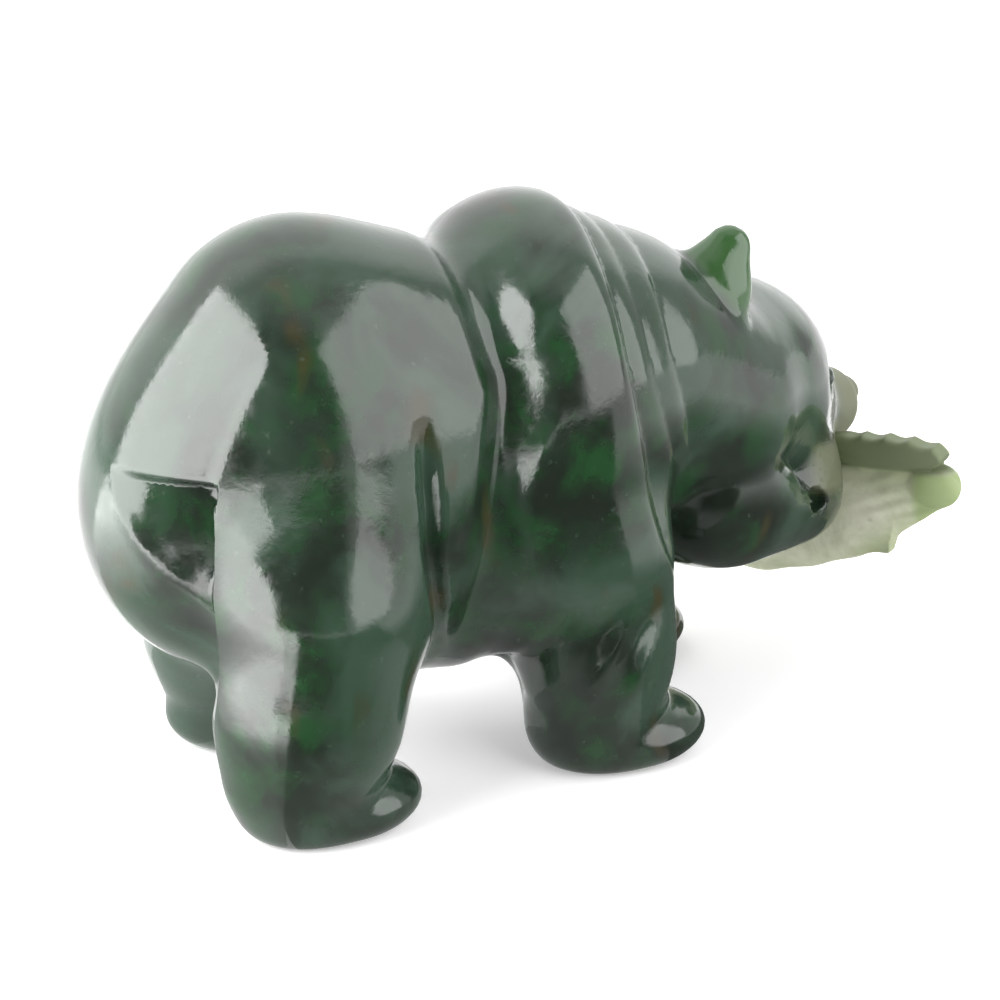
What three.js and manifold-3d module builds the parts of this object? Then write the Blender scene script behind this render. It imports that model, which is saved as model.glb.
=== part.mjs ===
// A walking bear with a salmon held across its mouth, carved from one block of nephrite jade.
// Millimetres, +Z up. The bear faces +X and turns its head towards its left, +Y. It stands on
// four flat soles at z = 0, and the origin is under the middle of the whole carving.
import * as THREE from "three";
import Module from "manifold-3d";

// Driving dimension
const height = 64; // from the ground to the top of the shoulder hump

// Every place, radius and depth below is in units of the carving's own grid, which makes the
// hump 96 units high. The pose and the proportions follow the height in this way.
const unitsTall = 96;
const unit = height / unitsTall;

// Facets: how far apart the lines are that the surface is found between, in units
const bodyFacet = { x: 4.2, y: 3.6, z: 3.65 };
const headFacet = { x: 3, from: 66, to: 80 };
const fishFacet = { x: 2.7, y: 1.9, z: 2.2 };

const { clamp, degToRad, lerp, smoothstep } = THREE.MathUtils;

// Two distances joined with a fillet of the given size, and its opposite for cuts
function join(a, b, fillet) {
  const h = Math.max(fillet - Math.abs(a - b), 0) / fillet;
  return Math.min(a, b) - (h * h * fillet) / 4;
}
function cut(a, b, fillet) {
  return -join(-a, b, fillet);
}

// The box round balls at given places, each with its radius
function boxRound(balls) {
  const box = new THREE.Box3();
  for (const [x, y, z, r] of balls) {
    box.expandByPoint(new THREE.Vector3(x - r, y - r, z - r));
    box.expandByPoint(new THREE.Vector3(x + r, y + r, z + r));
  }
  return box;
}
const boxOf = (forms) => forms.reduce((box, form) => box.union(form.box), new THREE.Box3());

// An ellipsoid: how far a point is outside it, less than zero inside
function egg(at, radii) {
  const [x, y, z] = at;
  const [rx, ry, rz] = radii;
  const box = new THREE.Box3(new THREE.Vector3(x - rx, y - ry, z - rz), new THREE.Vector3(x + rx, y + ry, z + rz));
  const distance = (px, py, pz) => {
    const ux = (px - x) / rx;
    const uy = (py - y) / ry;
    const uz = (pz - z) / rz;
    const out = Math.hypot(ux, uy, uz);
    const slope = Math.hypot(ux / rx, uy / ry, uz / rz);
    return slope < 1e-9 ? -Math.min(rx, ry, rz) : (out * (out - 1)) / slope;
  };
  return { box, distance };
}

// A tapered rod with round ends, from a to b
function rod(a, b, ra, rb) {
  const [bx, by, bz] = [b[0] - a[0], b[1] - a[1], b[2] - a[2]];
  const long2 = bx * bx + by * by + bz * bz;
  const thin = ra - rb;
  const side2 = long2 - thin * thin;
  const distance = (px, py, pz) => {
    const [x, y, z] = [px - a[0], py - a[1], pz - a[2]];
    const before = x * bx + y * by + z * bz;
    const after = before - long2;
    const across2 =
      (x * long2 - bx * before) ** 2 + (y * long2 - by * before) ** 2 + (z * long2 - bz * before) ** 2;
    const k = Math.sign(thin) * thin * thin * across2;
    if (Math.sign(after) * side2 * after * after * long2 > k)
      return Math.sqrt(across2 + after * after * long2) / long2 - rb;
    if (Math.sign(before) * side2 * before * before * long2 < k)
      return Math.sqrt(across2 + before * before * long2) / long2 - ra;
    return (Math.sqrt((across2 * side2) / long2) + before * thin) / long2 - ra;
  };
  return { box: boxRound([[...a, ra], [...b, rb]]), distance };
}

// Rods end to end through [x, y, z, radius] stations
function limb(stations, fillet) {
  const rods = stations.slice(1).map((b, i) => rod(stations[i].slice(0, 3), b.slice(0, 3), stations[i][3], b[3]));
  const distance = (x, y, z) => rods.reduce((d, r) => join(d, r.distance(x, y, z), fillet), 1e3);
  return { box: boxOf(rods), distance };
}

// Masses of the body, each with the fillet that joins it to the ones before it
const masses = [];
const mass = (form, fillet) => masses.push({ ...form, fillet });

function trunk() {
  mass(egg([9, 1.5, 60], [28, 26, 36]), 1); // rump
  mass(egg([0, 4, 50], [27, 24, 30]), 8); // seat, fuller on the left
  mass(egg([31, 0, 51], [29, 25, 36.5]), 14); // belly
  mass(egg([50, 0, 64], [23, 26, 30.5]), 5); // shoulders and hump
  mass(limb([[62, 1, 62, 25], [84, 4, 52, 20]], 6), 6); // neck
}

// A leg: a broad upper mass, a pillar through a few stations and a low foot
function leg(side, upper, pillar, foot) {
  const y = (v) => side * v;
  mass(egg([upper.x, y(upper.y), upper.z], upper.radii), 8);
  mass(limb(pillar.map(([x, off, z, r]) => [x, y(off), z, r]), 7), 7);
  mass(egg([foot.x, y(foot.y), foot.z], foot.radii), 3);
}

function legs() {
  const right = -1;
  const left = 1;
  const haunch = { x: 7, y: 12, z: 50, radii: [18, 15.5, 32] };
  const thigh = { x: 6, y: 14, z: 50, radii: [19, 17, 32] };
  const arm = { x: 50, y: 13, z: 52, radii: [17, 16, 32] };
  const paw = { y: 18.5, z: 4.2, radii: [15, 12, 6.2] };
  const haunchPillar = [[7, 14, 48, 14], [4, 17, 36, 15.6], [0.4, 19.4, 20, 14], [-2, 20.3, 10, 11.9]];
  leg(right, haunch, haunchPillar, { ...paw, x: 4.5, y: 19.8 });
  leg(left, thigh, [[5, 17, 34, 14], [4, 19, 20, 13], [5, 19, 9, 11]], { ...paw, x: 8 });
  leg(right, arm, [[54, 16, 36, 14.5], [54, 18, 20, 12], [53.5, 18, 9, 11.5]], { ...paw, x: 59 });
  leg(left, arm, [[64, 16, 36, 13.5], [70, 18, 20, 12], [72, 18, 9, 11]], { ...paw, x: 77 });
}

trunk();
legs();

// The head has a frame of its own: x towards the nose, y to its left, z to the crown
const headAt = new THREE.Vector3(90, 6, 46);
const headTurn = new THREE.Euler(degToRad(-8), degToRad(14), degToRad(25), "ZYX");
const fromHead = new THREE.Matrix4().makeRotationFromEuler(headTurn).setPosition(headAt);
const toHead = fromHead.clone().invert();

const crown = [
  { ...egg([-2, 0, 4], [19, 18, 21]), fillet: 1 },
  { ...egg([10, 0, 5], [17, 16, 18]), fillet: 8 },
];
const muzzle = rod([16, 0, 0], [37.5, 0, 0.5], 10.4, 7);
const pair = [-1, 1];
const lips = pair.map((s) => rod([13, s * 6.6, -6.5], [26, s * 4.8, -8], 5, 3.7));
const jowls = pair.map((s) => rod([-6, s * 4, -12.5], [20, s * 5.5, -13.5], 10.8, 7));
const jaws = pair.map((s) => rod([3, s * 3, -15.5], [27, s * 4.5, -16.5], 9.5, 5));

// An ear: a limb pressed flat between its back and its hollow
const earBack = { x: -0.9, y: 0.43 }; // the way that its back faces
const earPressed = 0.5;
function ear(side) {
  const stations = [[-19, 7.6, 15, 8.5], [-17.6, 10.3, 23, 6.6], [-15.8, 12.9, 30.2, 3.8]];
  const round = limb(stations.map(([x, off, z, r]) => [x, side * off, z, r]), 3);
  const hollow = egg([-9.6, side * 10.5, 24], [5, 5.5, 8]);
  const distance = (x, y, z) => {
    const off = earPressed * ((x + 17) * earBack.x + (y - side * 11) * side * earBack.y);
    return 0.8 * round.distance(x + off * earBack.x, y + off * side * earBack.y, z);
  };
  return { box: round.box, distance, hollow };
}
const ears = pair.map(ear);
const sockets = pair.map((s) => egg([23, s * 16, 8], [8, 6, 6]));
const nose = egg([42.6, 0, 2.6], [3.6, 4.6, 3.6]);
const headForms = [...crown, muzzle, ...lips, ...jowls, ...jaws, ...ears, nose];
const headBox = boxOf(headForms).applyMatrix4(fromHead);

// The salmon lies across the mouth. Its frame: x along it towards the tail, y across, z up
const fishAt = new THREE.Vector3(118, 18, 29);
const fishTurn = degToRad(-58);
const fishFlat = 0.58; // how thick it is for its depth
const fishStations = [
  [-36, -14.5, 3],
  [-30, -15, 5.4],
  [-20, -15.4, 7.6],
  [-8, -14.3, 8.1],
  [0, -11.8, 8.2],
  [8, -9, 7.7],
  [14, -6, 6.3],
  [20, -3.4, 4.4],
  [26.4, -0.8, 3.3],
];
const fishBack = [
  [-30, -9, 5],
  [-8, -5, 5.6],
  [6, -3.6, 5.4],
  [18, -1, 4.3],
  [27, 0.8, 3],
];
const fishRods = [fishStations, fishBack].flatMap((stations) =>
  stations.slice(1).map(([x, z, r], i) => {
    const [x0, z0, r0] = stations[i];
    return rod([x0, 0, z0], [x, 0, z], r0, r);
  }),
);
const tailLobe = egg([26, -1.6, 0], [5, 2.7, 3.5]);
// The back fin stands out from the salmon's side like a leaf, with a scalloped upper edge
const fin = { from: 3, to: 28, base: 3.6, rise: 2.6, tall: 3.2, side: -1.3, half: 2.4, notch: 4.6 };
const ventFin = { x: 15.5, half: 2.4, thick: 1.5, top: -7, bottom: -14.5 };
const fishBox = boxOf([...fishRods, tailLobe]);
fishBox.expandByPoint(new THREE.Vector3(fin.to, fin.side - fin.half, fin.base + fin.rise + fin.tall));

function backFin(x, y, z) {
  const along = (x - fin.from) / (fin.to - fin.from);
  const middle = fin.base + fin.rise * along;
  const half = fin.tall * clamp(4 * along * (1 - along), 0, 1) ** 0.4;
  const notched = z > middle ? smoothstep(x, fin.from + 5, fin.from + 9) : 0;
  const scallop = 0.7 * notched * Math.abs(Math.sin((Math.PI * (x - fin.from)) / fin.notch));
  const leaf = Math.max(Math.abs(z - middle) - half + scallop, fin.from - 1 - x, x - fin.to);
  const wall = Math.abs(y - fin.side) - fin.half + 0.06 * (z - middle) ** 2;
  return -join(-leaf, -wall, 1) * 0.75;
}

function fish(x, y, z) {
  const body = fishRods.reduce((near, r) => join(near, r.distance(x, y / fishFlat, z), 3), 1e3) * 0.7;
  const inVent = Math.max(Math.abs(x - ventFin.x) - ventFin.half, Math.abs(y) - ventFin.thick);
  const vent = Math.max(inVent, ventFin.bottom - z, z - ventFin.top) * 0.8;
  const withTail = join(join(body, vent, 1.5), tailLobe.distance(x, y, z), 0.6);
  return join(withTail, backFin(x, y, z), 0.7);
}

// Carved lines are smooth curves in a plane: the flank's (x, z), the rear's (y, z) or the
// head's (x, z). Each is drawn through a few points.
function line(points, steps = 5) {
  const curve = new THREE.SplineCurve(points.map(([u, v]) => new THREE.Vector2(u, v)));
  return curve.getPoints(steps * (points.length - 1)).map((p) => [p.x, p.y]);
}

// How far (u, v) is from a line, on which side, and at what share of the line's length
function beside(path, u, v) {
  let gap = 1e3;
  let side = 1;
  let share = 0;
  for (let i = 0; i + 1 < path.length; i++) {
    const [u0, v0] = path[i];
    const du = path[i + 1][0] - u0;
    const dv = path[i + 1][1] - v0;
    const t = clamp(((u - u0) * du + (v - v0) * dv) / (du * du + dv * dv), 0, 1);
    const eu = u - u0 - t * du;
    const ev = v - v0 - t * dv;
    const d = Math.hypot(eu, ev);
    if (d < gap) {
      gap = d;
      side = du * ev - dv * eu > 0 ? 1 : -1;
      share = (i + t) / (path.length - 1);
    }
  }
  return { gap, side, share };
}

// A rounded groove that fades out at both ends of its line
function groove(path, u, v, wide, deep) {
  const { gap, share } = beside(path, u, v);
  const q = gap / wide;
  return q < 1 ? deep * (1 - q * q) ** 2 * smoothstep(share, 0, 0.3) * (1 - smoothstep(share, 0.7, 1)) : 0;
}

// A fold of skin: an edge, and in front of it a step down that fades out
const foldEdge = 1.8;
function fold({ path, deep, long }, u, v) {
  const { gap, side } = beside(path, u, v);
  return deep * Math.exp(-((gap / (side > 0 ? long : foldEdge)) ** 1.5));
}

const waist = line([[35.5, 112], [35.6, 79], [36.6, 70], [33.8, 60], [31, 41], [29, 24], [28, 4]]);
const thighLine = line([[18.5, 70], [18.8, 55], [19.7, 42], [26, 18]]);
const neckFolds = [
  { path: line([[59.5, 100], [56, 84], [56.2, 68], [59.3, 53], [63, 39], [68, 30]]), deep: 1.5, long: 8 },
  { path: line([[62, 96], [60.5, 80], [61.5, 67], [67, 52], [77, 38]]), deep: 0.7, long: 6 },
  { path: line([[69, 92], [66, 75], [68, 63], [73, 48], [80, 38]]), deep: 0.9, long: 6 },
];
const scoops = [
  line([[47, 34], [42.5, 24], [38, 12]]),
  line([[53, 36], [46, 21], [40.5, 5]]),
  line([[59, 33], [51.5, 19], [45, 5]]),
];
const rearEdge = line([[1, 64], [-6, 53], [-11, 46.5], [-15.5, 41], [-20, 37]]);
const cheekLine = line([[-25, 7], [-17, 3.2], [-9, -0.8], [-2, -3.8], [6, -6.5], [11, -9.8], [15, -14]]);

function flankCarving(x, y, z) {
  const offMiddle = clamp((Math.abs(y) - 2) / 6, 0, 1);
  let depth = 0;
  if (x > 10 && x < 50) {
    depth += groove(waist, x, z, 7, 2.4);
    depth += groove(thighLine, x, z, 3.8, 2.2) * offMiddle;
  }
  if (x > 38 && z > 32) {
    const lower = clamp((z - 32) / 8, 0, 1) * smoothstep(x, 38, 48);
    for (const f of neckFolds) depth += lower * fold(f, x, z);
  }
  if (Math.abs(y) > 10 && z < 38 && x > 34 && x < 66)
    for (const s of scoops) depth += groove(s, x, z, 3.6, y < 0 ? 1.6 : 1);
  return depth;
}

// A wedge cut between the buttock's ridge and the haunch, deepest beside the haunch, and a
// hollow below it that sets the leg off from the rump
function rearCarving(x, y, z) {
  if (x > -4) return 0;
  const { gap, side } = beside(rearEdge, y, z);
  const within = clamp((-4 - x) / 5, 0, 1) * smoothstep(y, -19, -15.5);
  const upper = side < 0 ? Math.min(0.45 * gap, 4) * (1 - smoothstep(z, 57, 63)) : 0;
  const lower = 3 * (1 - smoothstep(y, -15, -3)) * smoothstep(z, 20, 28) * (1 - smoothstep(z, 40, 52));
  return within * -join(-upper, -lower, 1.5);
}

// Below the crown a crease sets the cheek off: it steps in under the line and fades above it
function cheekCrease(x, y, z) {
  const { gap, side, share } = beside(cheekLine, x, z);
  const offMiddle = clamp((Math.abs(y) - 4) / 4, 0, 1);
  const fade = smoothstep(share, 0, 0.22) * (1 - smoothstep(share, 0.8, 1)) * offMiddle;
  return 2.6 * fade * Math.exp(-gap / (side > 0 ? 6.5 : 2.5));
}

const local = new THREE.Vector3();
function head(x, y, z) {
  local.set(x, y, z).applyMatrix4(toHead);
  const p = [local.x, local.y, local.z];
  let d = 1e3;
  for (const form of crown) d = join(d, form.distance(...p), form.fillet);
  d = join(d, muzzle.distance(...p), 7);
  d = join(d, join(lips[0].distance(...p), lips[1].distance(...p), 3), 4);
  const cheeks = join(jowls[0].distance(...p), jowls[1].distance(...p), 4);
  const chin = join(jaws[0].distance(...p), jaws[1].distance(...p), 4);
  d = join(d, join(chin, cheeks, 8), 9);
  d += cheekCrease(...p);
  for (const { distance, hollow } of ears) d = cut(join(d, distance(...p), 2), hollow.distance(...p), 1.5);
  for (const socket of sockets) d = cut(d, socket.distance(...p), 4);
  return join(d, nose.distance(...p), 1.5);
}

// The bear: how far a point is outside the stone, less than zero inside
const here = new THREE.Vector3();
function bear(x, y, z) {
  here.set(x, y, z);
  let d = 1e3;
  for (const m of masses)
    if (m.box.distanceToPoint(here) < d + m.fillet) d = join(d, m.distance(x, y, z), m.fillet);
  if (d < 8) d += flankCarving(x, y, z) + rearCarving(x, y, z);
  if (headBox.distanceToPoint(here) < d + 2) d = join(d, head(x, y, z), 2);
  return cut(d, z, 1.2); // the soles are ground flat
}

// Grid lines from one place to another, each a step after the last
function gridLines(from, to, step) {
  const places = [from];
  while (places.at(-1) < to) places.push(places.at(-1) + step(places.at(-1)));
  return places;
}

// A cell's corners are numbered 0 to 7 by three bits, for x, y and z, and an edge runs from a
// corner with its axis' bit clear to the one with it set
const bits = [4, 2, 1];
const cellCorners = [0, 1, 2, 3, 4, 5, 6, 7];
const cellEdges = bits.flatMap((bit, axis) =>
  cellCorners.filter((from) => !(from & bit)).map((from) => ({ axis, from, to: from | bit })),
);
const bitOf = (corner, axis) => (corner & bits[axis] ? 1 : 0);

// The edges that the surface crosses in a cell, as one list for each sheet of it that passes
// through. Two sheets in one cell stay apart, so the mesh closes however thin the stone is.
function sheetsIn(inside) {
  const crossed = cellEdges.filter((e) => inside[e.from] !== inside[e.to]);
  let sheets = crossed.map((e) => [e]);
  const stoneCorner = (e) => (inside[e.from] ? e.from : e.to);
  for (const bit of bits)
    for (const side of [0, bit]) {
      const onFace = crossed.filter((e) => (e.from & bit) === side && (e.to & bit) === side);
      for (const e of onFace)
        for (const f of onFace) {
          if (onFace.length > 2 && stoneCorner(e) !== stoneCorner(f)) continue;
          const [one, other] = [sheets.find((s) => s.includes(e)), sheets.find((s) => s.includes(f))];
          if (one !== other) sheets = [...sheets.filter((s) => s !== one && s !== other), [...one, ...other]];
        }
    }
  return sheets;
}

// Moves a vertex onto the surface of a field, but never out of its own cell
function settle(field, start, low, high) {
  const e = 0.05;
  let p = start;
  for (let n = 0; n < 4; n++) {
    const d = field(...p);
    const slope = [0, 1, 2].map((axis) => {
      const q = p.map((v, b) => (axis === b ? v + e : v));
      const r = p.map((v, b) => (axis === b ? v - e : v));
      return (field(...q) - field(...r)) / (2 * e);
    });
    const steep2 = slope[0] ** 2 + slope[1] ** 2 + slope[2] ** 2;
    if (steep2 < 1e-6) break;
    p = p.map((v, axis) => clamp(v - (d * slope[axis]) / steep2, low[axis], high[axis]));
  }
  return p;
}

// The surface of a field as one closed mesh, with a vertex for each sheet in each cell
function surfaceOf(field, grid) {
  const [nx, ny, nz] = grid.map((lines) => lines.length);
  const index = (i, j, k) => (i * ny + j) * nz + k;
  const values = new Float64Array(nx * ny * nz);
  const each = (from, visit) => {
    for (let i = from; i < nx - from; i++)
      for (let j = from; j < ny - from; j++) for (let k = from; k < nz - from; k++) visit(i, j, k);
  };
  each(0, (i, j, k) => {
    values[index(i, j, k)] = field(grid[0][i], grid[1][j], grid[2][k]);
  });
  const points = [];
  const vertexOn = new Map(); // from a cell and one of its edges to a vertex
  const key = (cell, edge) => cell * 24 + edge.from * 3 + edge.axis;
  const rim = 0.04; // of a cell, kept clear of vertices
  each(0, (i, j, k) => {
    if (i + 1 === nx || j + 1 === ny || k + 1 === nz) return;
    const at = [i, j, k];
    const value = cellCorners.map((c) => values[index(i + bitOf(c, 0), j + bitOf(c, 1), k + bitOf(c, 2))]);
    const inside = value.map((v) => v < 0);
    if (inside.every((v) => v === inside[0])) return;
    const low = at.map((n, axis) => grid[axis][n]);
    const size = at.map((n, axis) => grid[axis][n + 1] - low[axis]);
    for (const sheet of sheetsIn(inside)) {
      const sum = [0, 0, 0];
      for (const e of sheet) {
        const t = value[e.from] / (value[e.from] - value[e.to]);
        for (const axis of [0, 1, 2]) {
          const share = axis === e.axis ? t : bitOf(e.from, axis);
          sum[axis] += low[axis] + share * size[axis];
        }
        vertexOn.set(key(index(i, j, k), e), points.length);
      }
      points.push(
        settle(
          field,
          sum.map((v) => v / sheet.length),
          low.map((v, axis) => v + rim * size[axis]),
          low.map((v, axis) => v + (1 - rim) * size[axis]),
        ),
      );
    }
  });
  const faces = [];
  const apart = (a, b) => Math.hypot(...points[a].map((v, n) => v - points[b][n]));
  each(1, (i, j, k) => {
    const here = values[index(i, j, k)] < 0;
    for (const edge of cellEdges.filter((e) => e.from === 0)) {
      const [du, dv] = [(edge.axis + 1) % 3, (edge.axis + 2) % 3];
      const next = [i, j, k].map((n, axis) => n + (axis === edge.axis ? 1 : 0));
      if (here === values[index(...next)] < 0) continue;
      // the four cells around this edge, in turn
      const ring = [[1, 1], [0, 1], [0, 0], [1, 0]].map(([u, v]) => {
        const cell = [i, j, k];
        cell[du] -= u;
        cell[dv] -= v;
        const from = u * bits[du] + v * bits[dv];
        return vertexOn.get(key(index(...cell), { axis: edge.axis, from }));
      });
      const [p, q, r, s] = here ? ring : ring.reverse();
      if (apart(p, r) < apart(q, s)) faces.push(p, q, r, p, r, s);
      else faces.push(p, q, s, q, r, s);
    }
  });
  return new THREE.BufferGeometry()
    .setAttribute("position", new THREE.Float32BufferAttribute(points.flat(), 3))
    .setIndex(faces);
}

const xStep = (x) => {
  return lerp(bodyFacet.x, headFacet.x, smoothstep(x, headFacet.from, headFacet.to));
};
const bearBox = boxOf(masses).union(headBox);
const bearSurface = surfaceOf(bear, [
  gridLines(bearBox.min.x - 2 * bodyFacet.x, bearBox.max.x + headFacet.x, xStep),
  gridLines(bearBox.min.y - 2 * bodyFacet.y, bearBox.max.y + bodyFacet.y, () => bodyFacet.y),
  gridLines(-1.5 * bodyFacet.z, bearBox.max.z + bodyFacet.z, () => bodyFacet.z),
]);
const fishSurface = surfaceOf(fish, [
  gridLines(fishBox.min.x - 2 * fishFacet.x, fishBox.max.x + fishFacet.x, () => fishFacet.x),
  gridLines(fishBox.min.y - 2 * fishFacet.y, fishBox.max.y + fishFacet.y, () => fishFacet.y),
  gridLines(fishBox.min.z - 2 * fishFacet.z, fishBox.max.z + fishFacet.z, () => fishFacet.z),
]);
fishSurface.rotateZ(fishTurn).translate(...fishAt);

const wasm = await Module();
wasm.setup();
const solidOf = (surface) =>
  new wasm.Manifold(
    new wasm.Mesh({
      numProp: 3,
      vertProperties: surface.attributes.position.array,
      triVerts: new Uint32Array(surface.index.array),
    }),
  );
const block = solidOf(bearSurface).add(solidOf(fishSurface)).getMesh();

const stone = new THREE.BufferGeometry()
  .setAttribute("position", new THREE.BufferAttribute(block.vertProperties, 3))
  .setIndex(new THREE.BufferAttribute(block.triVerts, 1));
stone.scale(unit, unit, unit);
stone.computeBoundingBox();
const middle = stone.boundingBox.getCenter(new THREE.Vector3());
stone.translate(-middle.x, -middle.y, 0);

const nephrite = new THREE.MeshStandardMaterial({ color: 0x1f4a30, roughness: 0.1, metalness: 0 });
const carving = new THREE.Mesh(stone, nephrite);
carving.name = "bear_with_salmon";

const sculpture = new THREE.Group();
sculpture.add(carving);

export default sculpture;
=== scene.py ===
import math
import bpy
import numpy as np
from mathutils import Euler, Matrix, Vector


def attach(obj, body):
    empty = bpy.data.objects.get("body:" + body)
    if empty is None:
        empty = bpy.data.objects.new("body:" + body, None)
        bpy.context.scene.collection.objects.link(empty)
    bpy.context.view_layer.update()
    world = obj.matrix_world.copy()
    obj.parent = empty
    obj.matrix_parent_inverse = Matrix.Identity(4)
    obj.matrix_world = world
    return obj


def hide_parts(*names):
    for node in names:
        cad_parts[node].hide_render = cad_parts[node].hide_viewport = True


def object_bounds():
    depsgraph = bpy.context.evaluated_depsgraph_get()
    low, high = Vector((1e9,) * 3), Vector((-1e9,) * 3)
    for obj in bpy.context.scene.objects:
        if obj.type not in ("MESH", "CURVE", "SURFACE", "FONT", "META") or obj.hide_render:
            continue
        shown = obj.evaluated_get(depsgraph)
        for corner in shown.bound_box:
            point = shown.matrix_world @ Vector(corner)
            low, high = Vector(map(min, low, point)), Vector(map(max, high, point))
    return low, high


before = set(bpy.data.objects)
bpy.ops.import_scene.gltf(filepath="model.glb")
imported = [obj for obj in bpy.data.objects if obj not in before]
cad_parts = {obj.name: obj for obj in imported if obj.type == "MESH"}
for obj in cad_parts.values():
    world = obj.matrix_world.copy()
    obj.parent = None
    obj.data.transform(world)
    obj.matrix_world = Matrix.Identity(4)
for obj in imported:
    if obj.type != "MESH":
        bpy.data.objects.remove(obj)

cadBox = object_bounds()

# A walking bear with a salmon held across its mouth, cut from one block of nephrite jade. The
# stone is polished to a mirror, but the salmon and the end of the muzzle are left matt and pale.
# The carving is worked in units of its own grid, 96 from the ground to the hump, as in the CAD.
height = 0.064  # metres from the ground to the top of the hump
unitsTall = 96
unit = height / unitsTall
middle = (54.135, 7.98)  # where the CAD's origin is on the grid

stone = {
    "deep": "#1b221b",
    "mist": "#2e4033",
    "green": "#1d3b21",
    "brown": "#33301c",
    "speck": "#48574b",
    # painted glow: light coming through thin stone, painted on as a brighter green
    "paintedGlow": "#34522f",
    "cloudSize": 0.016,
    "mottleSize": 0.006,
    "speckSize": 0.0011,
    "veinSize": 0.03,
    "grainSize": 0.0012,
    "wave": 0.00025,
    "grain": 0.00003,
    "roughness": 0.08,
    "ior": 1.62,
}
raw = {
    "pale": "#c6c8b2",
    "dull": "#a3a88c",
    "lip": "#5f644b",
    # painted glow: the salmon's thin parts and tail, coloured greener for light coming through
    "thin": "#8b9b69",
    # painted shade: the darker olive of the fin's one side, where less light falls
    "fin": "#667150",
    "stain": "#5f6350",
    "grain": 0.00008,
    "roughness": 0.6,
}
bodyCell = {"x": 0.95, "y": 0.88, "z": 0.88, "headX": 0.7, "from": 64, "to": 78}
fishCell = 0.55  # the meshes' grids, in units


# Forms are distances: less than zero inside the stone. Two are joined with a fillet of a given
# size, or one is cut from the other.
def join(a, b, fillet):
    h = np.maximum(fillet - np.abs(a - b), 0) / fillet
    return np.minimum(a, b) - h * h * fillet / 4


def cut(a, b, fillet):
    return -join(-a, b, fillet)


def smooth(v, low, high):
    t = np.clip((v - low) / (high - low), 0, 1)
    return t * t * (3 - 2 * t)


# An ellipsoid
def egg(at, radii):
    least = min(radii)

    def distance(p):
        u = [(p[n] - at[n]) / radii[n] for n in range(3)]
        out = np.sqrt(u[0] ** 2 + u[1] ** 2 + u[2] ** 2)
        slope = np.sqrt(sum((u[n] / radii[n]) ** 2 for n in range(3)))
        return np.where(slope < 1e-9, -least, out * (out - 1) / np.maximum(slope, 1e-9))

    return distance


# A tapered rod with round ends
def rod(a, b, ra, rb):
    axis = [b[n] - a[n] for n in range(3)]
    long2 = sum(v * v for v in axis)
    thin = ra - rb
    side2 = long2 - thin * thin

    def distance(p):
        q = [p[n] - a[n] for n in range(3)]
        before = q[0] * axis[0] + q[1] * axis[1] + q[2] * axis[2]
        after = before - long2
        across2 = sum((q[n] * long2 - axis[n] * before) ** 2 for n in range(3))
        k = math.copysign(thin * thin, thin) * across2
        wall = (np.sqrt(across2 * side2 / long2) + before * thin) / long2 - ra
        low = np.sqrt(across2 + before * before * long2) / long2 - ra
        high = np.sqrt(across2 + after * after * long2) / long2 - rb
        atHigh = np.sign(after) * side2 * after * after * long2 > k
        atLow = np.sign(before) * side2 * before * before * long2 < k
        return np.where(atHigh, high, np.where(atLow, low, wall))

    return distance


# Rods end to end: each station is a place and its radius
def limb(stations, fillet):
    rods = [rod(a[:3], b[:3], a[3], b[3]) for a, b in zip(stations, stations[1:])]

    def distance(p):
        d = rods[0](p)
        for r in rods[1:]:
            d = join(d, r(p), fillet)
        return d

    return distance


# A smooth curve through a few points of a plane
def line(points, steps=5):
    last = len(points) - 1
    made = []
    for n in range(last):
        p0, p1 = points[max(n - 1, 0)], points[n]
        p2, p3 = points[n + 1], points[min(n + 2, last)]
        for s in range(steps):
            t = s / steps
            made.append([
                (2 * b - 2 * c + (c - a) / 2 + (d - b) / 2) * t ** 3
                + (-3 * b + 3 * c - (c - a) - (d - b) / 2) * t ** 2
                + (c - a) / 2 * t + b
                for a, b, c, d in zip(p0, p1, p2, p3)
            ])
    return made + [list(points[last])]


# How far points of the plane are from a line, on which side, and at what share of its length
def beside(path, u, v):
    gap = np.full(u.shape, 1e3)
    side = np.ones(u.shape)
    share = np.zeros(u.shape)
    for n in range(len(path) - 1):
        (u0, v0), (u1, v1) = path[n], path[n + 1]
        du, dv = u1 - u0, v1 - v0
        t = np.clip(((u - u0) * du + (v - v0) * dv) / (du * du + dv * dv), 0, 1)
        eu, ev = u - u0 - t * du, v - v0 - t * dv
        d = np.hypot(eu, ev)
        nearer = d < gap
        gap = np.where(nearer, d, gap)
        side = np.where(nearer, np.where(du * ev - dv * eu > 0, 1.0, -1.0), side)
        share = np.where(nearer, (n + t) / (len(path) - 1), share)
    return gap, side, share


# A rounded groove that fades out at both ends of its line
def groove(path, u, v, wide, deep):
    gap, _, share = beside(path, u, v)
    q = np.minimum(gap / wide, 1)
    return deep * (1 - q * q) ** 2 * smooth(share, 0, 0.3) * (1 - smooth(share, 0.7, 1))


# A step down from an edge, which fades out slowly on one side and fast on the other. Blunt is
# how far the edge is rounded.
def step(gap, side, deep, slow, fast, blunt):
    return deep * np.exp(-(np.hypot(gap, blunt) - blunt) / np.where(side > 0, slow, fast))


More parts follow.
